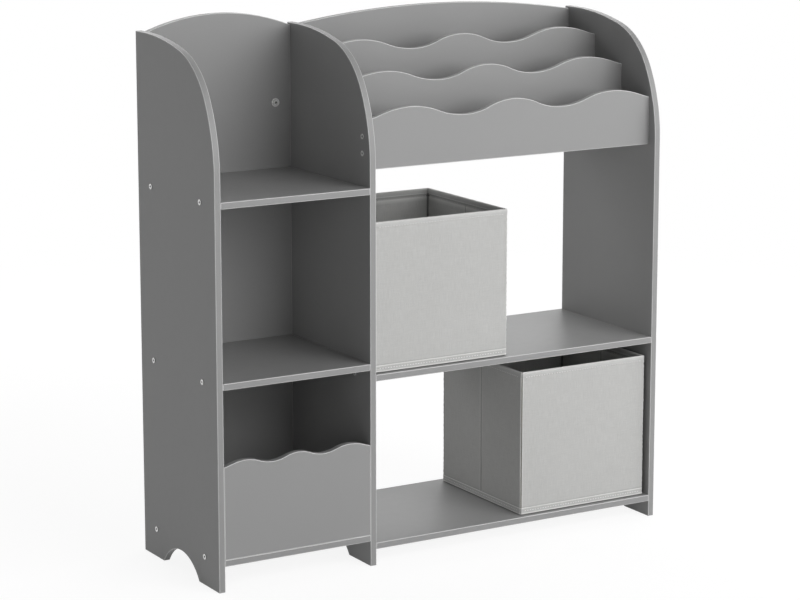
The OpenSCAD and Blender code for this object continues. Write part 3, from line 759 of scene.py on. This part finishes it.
        # Painted shade: inside in the corners and along the pocket seam; outside along the corner
        # grooves, just above the hem's edge and under the bin; on both faces below the tape's
        # edge and along the crease
        dark = np.where(
            inner, line(self.from_corner, 2.2) + line(seam, 0.9),
            0.7 * groove + 0.4 * line(hem - 0.8 * MM, 0.6) + line(z, 1),
        ) + np.where(inner, 0.6, 0.1) * below_tape + 0.6 * crease
        # Painted highlights: inside just below the pocket seam; outside on the corners' rolls, at
        # the hem's edge and on the rolled lower edge; on both faces on the crease's lips
        pale = np.where(
            inner, line(seam + 2 * MM, 1.1),
            0.5 * rolls + line(hem + 0.9 * MM, 0.8) + line(z - 2.2 * MM, 1.2),
        ) + 0.3 * lips
        return {"groove": np.clip(dark, 0, 1), "fold": np.clip(pale, 0, 1)}

    def gathers(self, z):
        """Uneven gathers up a seam, from -1 to 1: two sine waves of near lengths, shifted
        from side to side."""
        turn = 2 * math.pi * (z + 3 * MM * self.side)
        return 0.6 * np.sin(turn / (8.3 * MM)) + 0.4 * np.sin(turn / (13.1 * MM) + 1)

    def ripple(self, points, scale=1.0):
        """Soft unevenness of stretched fabric: long waves and short ones."""
        seed = BINS.index(self.name) * 10
        return scale * self.settings.ripple * (
            unevenness(points, 0.075, 3 + seed) + 0.45 * unevenness(points, 0.026, 4 + seed)
        )


def half_turn(middle, reach, height, count):
    """Half circle over the rim in the wall's section, from its outer to its inner side:
    distance inwards and height."""
    angle = np.linspace(0, math.pi, count)
    return middle - reach * np.cos(angle), height + reach * np.sin(angle)


def wall_section(shape):
    """Section of a wall as distances inwards and heights: up the outer face with close
    rows at the hem, over the rim, down the inner face, and back below."""
    s, half = shape.settings, shape.wall / 2
    rim = shape.height - shape.tape - half
    # Heights of the rows over the hem, closest where its edge and its stitches are
    hem = np.array([1.2, 1.25, 1.4, 1.6, 1.9, 2.4, 2.9, 3.4, 4.4, 5.6, 6.4, 7.0, 7.6, 8.2,
                    9.0, 10.2, 11.6, 12.5, 13.0, 13.4, 13.6, 13.8, 14.2, 14.7, 15.4, 16.4]) * MM
    tuck = np.array([1.6, 0.8, 0.25]) * MM
    outer = np.concatenate([hem, np.linspace(17.5 * MM, rim, 110)[:-1]])
    over_in, over_z = half_turn(half, half, rim, 9)
    seam = shape.height - s.inner_row
    fine = seam + np.array([1.6, 1.0, 0.5, 0.0, -0.5, -1.0, -1.6]) * MM
    inner = np.concatenate([
        np.linspace(rim, fine[0], 9)[1:-1], fine,
        np.linspace(fine[-1], shape.floor_top + 0.6 * MM, 32)[1:],
    ])
    inward = np.concatenate([
        tuck, np.zeros(len(outer) - len(tuck)), over_in,
        np.full(len(inner), shape.wall), [0.92 * shape.wall, 0.75 * shape.wall, 2.3 * MM],
    ])
    z = np.concatenate([outer, over_z, inner, [0.3 * MM, 0.0, 0.0]])
    is_inner = np.arange(len(z)) >= len(outer) + len(over_in)
    return inward, z, is_inner


def add_walls(shape):
    """Fabric walls with their relief, closed round the stiffeners. Ripples are calmer
    near the rim, and the rows below the wall have little relief."""
    inward, z, is_inner = wall_section(shape)
    flat = shape.place(inward, z)
    outside, inside = shape.relief(z), -shape.relief(z, inner=True)
    over = np.abs(z - (shape.height - shape.settings.top_row)) < shape.settings.top_row
    calm = np.where(over, shape.settings.under_tape, 1.0)[:, None]
    relief = np.where(is_inner[:, None], inside, outside) + shape.ripple(flat) * calm
    relief[-3:] *= 0.2
    # The painted shade and painted highlights that the fabric's material reads
    shades = shape.shades(z, is_inner)
    return add_ring(f"{shape.name}_fabric_walls", shape.place(inward, z, relief), shades)


def tape_section(shape):
    """Section of the binding tape: its outer skin from the lower edge outside over the rim
    to the lower edge inside, and back along its inner skin."""
    half, thick, skin = shape.wall / 2, shape.tape, 0.08 * MM
    rim = shape.height - thick - half
    leg = shape.tape_edge + np.array([0, 0.25, 0.7, 1.2, 1.8, 2.6, 4.2]) * MM
    leg = np.append(leg, rim - 0.6 * MM)
    out_in, out_z = half_turn(half, half + thick, rim, 13)
    back_in, back_z = half_turn(half, half + skin, rim, 9)
    rounded = np.array([0.55, 0.1] + [0.0] * 6) * thick
    inward = np.concatenate([
        rounded - thick, out_in, shape.wall + thick - rounded[::-1],
        np.full(len(leg), shape.wall + skin), back_in[::-1], np.full(len(leg), -skin),
    ])
    z = np.concatenate([leg, out_z, leg[::-1], leg, back_z[::-1], leg[::-1]])
    return inward, z


def add_tape(shape):
    """Binding tape over the rim, a little drawn in along its stitches and rolled at the
    corners."""
    s = shape.settings
    inward, z = tape_section(shape)
    row = shape.height - s.top_row
    pull = -s.tape_pull * line(z - row, 0.8)[:, None]
    sign = np.where(inward > shape.wall / 2, -1, 1)[:, None]
    arc = shape.arc
    rolls, groove = line(np.abs(arc) - ROLL_AT, ROLL_WIDTH), line(arc, 0.6)
    corner = 0.35 * MM * rolls - 0.45 * MM * groove
    relief = sign * (pull + corner) + shape.ripple(shape.place(inward, z), s.under_tape)
    # Painted highlight towards the top of the rim and painted shade in the corners' grooves
    shades = {
        "fold": np.exp((z - shape.height) / (2.2 * MM))[:, None] + 0 * arc,
        "groove": 0 * z[:, None] + 0.6 * line(arc, 0.8),
    }
    return add_ring(f"{shape.name}_rim_tape", shape.place(inward, z, relief), shades)


def stitch_shape(stitch, thick):
    """One stitch as rings of points along X: a thread that arches out of the cloth in the
    middle and sinks into it at both ends, thinner there. Also how near each point is to
    an end, from 0 to 1."""
    t = np.array([-1, -0.8, -0.45, 0.45, 0.8, 1])
    sides = 6
    angle = np.linspace(0, 2 * math.pi, sides, endpoint=False)
    radius = thick / 2 * np.sqrt(1.02 - t**2 * 0.8)[:, None]
    arch = thick * (0.42 - 0.75 * t**4)
    x = np.repeat(stitch / 2 * t[:, None], sides, 1)
    rings = np.stack([x, radius * np.cos(angle), arch[:, None] + radius * np.sin(angle)], -1)
    # How near each point is to an end, which the thread's painted shade follows
    return rings, np.repeat(t**6, sides)


def stitch_places(shape, row, inner):
    """Middles and directions of a row's stitches at one height, evenly spaced along the
    straight run of each wall, on the relief of the wall or the tape."""
    s, z = shape.settings, np.array([row])
    way, free_ends = (-1 if inner else 1), 4 * MM
    if row > shape.tape_edge:
        skin = shape.tape - s.tape_pull
        inward = np.array([shape.wall + skin if inner else -skin])
        relief, calm = np.zeros((1, len(shape.side))), s.under_tape
    else:
        inward = np.array([shape.wall if inner else 0.0])
        relief, calm = shape.relief(z, inner) * way, 1.0
    level = shape.place(inward, z, relief + shape.ripple(shape.place(inward, z)) * calm)[0]
    places = []
    for k in range(4):
        chosen = np.nonzero((shape.side == k) & shape.straight)[0]
        path = level[chosen]
        run = np.concatenate([[0], np.cumsum(np.linalg.norm(np.diff(path, axis=0), axis=1))])
        count = int((run[-1] - free_ends) / s.pitch)
        at = run[-1] / 2 + (np.arange(count) - (count - 1) / 2) * s.pitch
        middle = np.stack([np.interp(at, run, path[:, axis]) for axis in range(3)], -1)
        places.append((middle, shape.normal[chosen[0]] * way))
    return places


def add_stitching(shape):
    """All the bin's visible stitches as one piece: one row in the hem, one on each face
    of the binding tape, and one along the pocket seam inside."""
    s = shape.settings
    pattern, end = stitch_shape(s.stitch, s.thread_d)
    rings, sides = pattern.shape[:2]
    flat = pattern.reshape(-1, 3)
    quads = grid_faces(rings, sides, False, True)
    caps = np.array([np.arange(sides)[::-1], len(flat) - sides + np.arange(sides)])
    top, pocket = shape.height - s.top_row, shape.height - s.inner_row
    up = np.array([0, 0, 1.0])
    rng = np.random.default_rng(21 + BINS.index(shape.name))
    clouds = []
    for row, inner in ((s.bottom_row, False), (top, False), (top, True), (pocket, True)):
        for middle, facing in stitch_places(shape, row, inner):
            along = np.array([-facing[1], facing[0], 0.0])
            out = np.repeat(np.array([[*facing, 0.0]]), len(middle), 0)
            lean = rng.normal(0, 0.035, len(middle))[:, None]
            x_axis = along * np.cos(lean) + up * np.sin(lean)
            y_axis = up * np.cos(lean) - along * np.sin(lean)
            axes = np.stack([x_axis, y_axis, out], 1)
            clouds.append(middle[:, None] + np.einsum("kc,ncd->nkd", flat, axes))
    cloud = np.concatenate(clouds)
    start = (np.arange(len(cloud)) * len(flat))[:, None, None]
    return add_piece(
        f"{shape.name}_stitching", cloud.reshape(-1, 3), (quads[None] + start).reshape(-1, 4),
        (caps[None] + start).reshape(-1, sides), shades={"end": np.tile(end, len(cloud))},
    )


def slab_rings(low, high, seed, ripple):
    """A flat padded sheet between two corners, as rings along Y. The section is a
    rectangle with round ends, and thins towards both ends of the sheet. Its faces are
    softly uneven away from their edges."""
    centre, half = (low + high) / 2, (high - low) / 2
    radius = half[2]
    tip = radius * (1 - np.cos(np.linspace(0, math.pi / 2, 6))) - half[1]
    middle = half[1] - 2 * radius
    y = np.concatenate([tip, np.linspace(-middle, middle, 50), -tip[::-1]])
    from_end = np.clip((half[1] - np.abs(y)) / radius, 0, 1)
    thin = np.sqrt(np.clip(1 - (1 - from_end) ** 2, 0.04, 1))
    flat = np.linspace(radius - half[0], half[0] - radius, 48)
    turn = np.linspace(-math.pi / 2, math.pi / 2, 9)[1:-1]
    end, ones = half[0] - radius + radius * np.cos(turn), np.ones(len(flat))
    x = np.concatenate([flat, end, -flat, -end])
    z = np.concatenate([-ones, np.sin(turn), ones, -np.sin(turn)])
    y = y[:, None]
    grid = [x + centre[0], y + centre[1], z * radius * thin[:, None]]
    grid = np.stack(np.broadcast_arrays(*grid), -1)
    dome = crown(x / half[0], 4) * crown(y / half[1], 4)
    grid[..., 2] += centre[2] + dome * ripple * unevenness(grid, 0.06, seed)
    return grid


def add_sheet(shape, node, piece, seed, ripple, inset=0.0, lift=0.0):
    """A thin padded sheet in the place of a bin's flat node, drawn in at its sides and
    lifted off what it lies on."""
    low, high = np.array(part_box(f"{shape.name}_{node}"))
    low, high = low + (inset, inset, lift), high - (inset, inset, 0)
    rings = slab_rings(low, high, seed + BINS.index(shape.name), ripple)
    return add_tube(f"{shape.name}_{piece}", rings)


def dress(piece, material, body, *nodes):
    """Gives a new piece of a bin its material and its body, and hides the nodes that it stands
    for."""
    piece.data.materials.append(material)
    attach(piece, body)
    if nodes:
        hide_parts(*nodes)


class KIDS_SHELF_OT_bins(bpy.types.Operator):
    """Sew the two fabric bins: walls, rim tape, stitches, floor and covered base board"""

    bl_idname = "kids_shelf.bins"
    bl_label = "Fabric bins"

    def execute(self, context):
        settings = context.scene.shelf_bins
        fabric = fabric_material("linen_fabric", settings.fabric, settings.weave, 0.11)
        tape = fabric_material("binding_tape", settings.tape, settings.weave * 0.8, 0.03)
        thread = thread_material(settings)
        card = card_material(settings)
        for name in BINS:
            shape = BinShape(name, settings)
            dress(add_walls(shape), fabric, name, f"{name}_walls")
            dress(add_tape(shape), tape, name, f"{name}_rim")
            # The floor reaches to the middle of the walls' thickness
            inset = shape.wall / 2
            floor = add_sheet(shape, "floor", "fabric_floor", 31, 0.05 * MM, inset, 0.1 * MM)
            dress(floor, fabric, name, f"{name}_floor")
            dress(add_stitching(shape), thread, name)
            board = add_sheet(shape, "base_board", "covered_base", 41, 0.12 * MM)
            dress(board, fabric, f"{name}_base", f"{name}_base_board")
            for place in STIFFENERS:
                finish_node(f"{name}_{place}_stiffener", [card])
        return {"FINISHED"}


# Stage


def floor_material(settings):
    """White floor that shows a pale shadow of the object, and fades to plain white far
    away for rays from the camera and for reflections."""
    s = Surface("white_floor")
    distance = s.node("ShaderNodeVectorMath", {"operation": "LENGTH"}, "Value", (s.coordinate(),))
    far = ((distance - settings.fade_start) / settings.fade_run).limited()
    s.set(Base_Color=(0.8, 0.8, 0.8, 1), Roughness=1.0, Specular_IOR_Level=0.0)
    lit = s.node("ShaderNodeBsdfDiffuse", Color=(*[settings.floor_shade] * 3, 1))
    even, plain = (s.node("ShaderNodeEmission", Strength=k) for k in (settings.floor_glow, 1.0))
    near = s.node("ShaderNodeAddShader", inputs=(lit, even))
    blend = s.node("ShaderNodeMixShader", inputs=(far, near, plain))
    s.show(s.node("ShaderNodeMixShader", inputs=(s.seen(), s.finish, blend)))
    return s.material


def white_world(strength):
    """World that is white where the camera or a reflection sees it, and lights the object
    evenly with the given strength."""
    world = bpy.data.worlds.new("white_room")
    w = Nodes(world, "ShaderNodeOutputWorld")
    even, shown = (
        w.node("ShaderNodeBackground", Color=(1, 1, 1, 1), Strength=k) for k in (strength, 1.0)
    )
    w.show(w.node("ShaderNodeMixShader", inputs=(w.seen(), even, shown)))
    bpy.context.scene.world = world


def add_lamp(name, azimuth, elevation, size, power, settings):
    """Square soft lamp that looks at the shelf's middle from a direction: azimuth in
    degrees from the front to the right, elevation in degrees above the floor."""
    turn, rise = math.radians(azimuth), math.radians(elevation)
    way = Vector((
        math.sin(turn) * math.cos(rise), -math.cos(turn) * math.cos(rise), math.sin(rise)
    ))
    light = bpy.data.lights.new(name, "AREA")
    light.size, light.energy = size, power * settings.lamps
    lamp = bpy.data.objects.new(name, light)
    lamp.location = Vector((0, 0, settings.aim)) + settings.lamp_distance * way
    lamp.rotation_euler = way.to_track_quat("Z", "Y").to_euler()
    bpy.context.scene.collection.objects.link(lamp)


LAMPS = (
    # name, azimuth, elevation, size in metres, power in watts
    ("front_lamp", 19, 23, 3.6, 154.0),
    ("left_front_lamp", -42, 10, 3.0, 26.0),
    ("right_front_lamp", 62, 12, 4.0, 92.0),
    ("rear_right_lamp", 128, 28, 3.0, 56.0),
    ("rear_lamp", 180, 30, 4.0, 84.0),
    ("rear_left_lamp", -140, 28, 3.0, 18.0),
)


class KIDS_SHELF_OT_stage(bpy.types.Operator):
    """Set the white floor, the lamps and the camera"""

    bl_idname = "kids_shelf.stage"
    bl_label = "Stage"

    def execute(self, context):
        settings, scene = context.scene.shelf_stage, context.scene
        half = settings.floor_size / 2
        mesh = bpy.data.meshes.new("floor")
        corners = [(-half, -half, 0), (half, -half, 0), (half, half, 0), (-half, half, 0)]
        mesh.from_pydata(corners, [], [(0, 1, 2, 3)])
        mesh.materials.append(floor_material(settings))
        floor = bpy.data.objects.new("floor", mesh)
        scene.collection.objects.link(floor)
        white_world(settings.ambient)
        for lamp in LAMPS:
            add_lamp(*lamp, settings)
        data = bpy.data.cameras.new("camera")
        data.lens, data.shift_y = settings.lens, settings.shift
        camera = bpy.data.objects.new("camera", data)
        turn = Matrix.Rotation(-settings.yaw, 4, "Z")
        tilt = Matrix.Rotation(math.pi / 2 - settings.pitch, 4, "X")
        camera.matrix_world = Matrix.Translation(settings.camera) @ turn @ tilt
        scene.collection.objects.link(camera)
        scene.camera = camera
        scene.view_settings.view_transform = "Standard"
        return {"FINISHED"}


class KIDS_SHELF_PT_panel(bpy.types.Panel):
    """Lists the steps and their settings"""

    bl_label = "Kids shelf"
    bl_space_type = "VIEW_3D"
    bl_region_type = "UI"
    bl_category = "Kids shelf"

    def draw(self, context):
        scene = context.scene
        for step, settings, _ in STEPS:
            box = self.layout.box()
            box.operator(step.bl_idname)
            group = getattr(scene, settings)
            for name in group.bl_rna.properties.keys():
                if name not in ("name", "rna_type"):
                    box.prop(group, name)


# Each step with the name and the kind of its settings in the scene
STEPS = (
    (KIDS_SHELF_OT_boards, "shelf_boards", BoardSettings),
    (KIDS_SHELF_OT_fasteners, "shelf_metal", MetalSettings),
    (KIDS_SHELF_OT_bins, "shelf_bins", BinSettings),
    (KIDS_SHELF_OT_stage, "shelf_stage", StageSettings),
)


def register():
    for step, name, group in STEPS:
        bpy.utils.register_class(group)
        setattr(bpy.types.Scene, name, PointerProperty(type=group))
        bpy.utils.register_class(step)
    bpy.utils.register_class(KIDS_SHELF_PT_panel)


def unregister():
    bpy.utils.unregister_class(KIDS_SHELF_PT_panel)
    for step, name, group in reversed(STEPS):
        bpy.utils.unregister_class(step)
        delattr(bpy.types.Scene, name)
        bpy.utils.unregister_class(group)


def main():
    register()
    bpy.ops.kids_shelf.boards()
    bpy.ops.kids_shelf.fasteners()
    bpy.ops.kids_shelf.bins()
    bpy.ops.kids_shelf.stage()


if __name__ == "__main__":
    main()
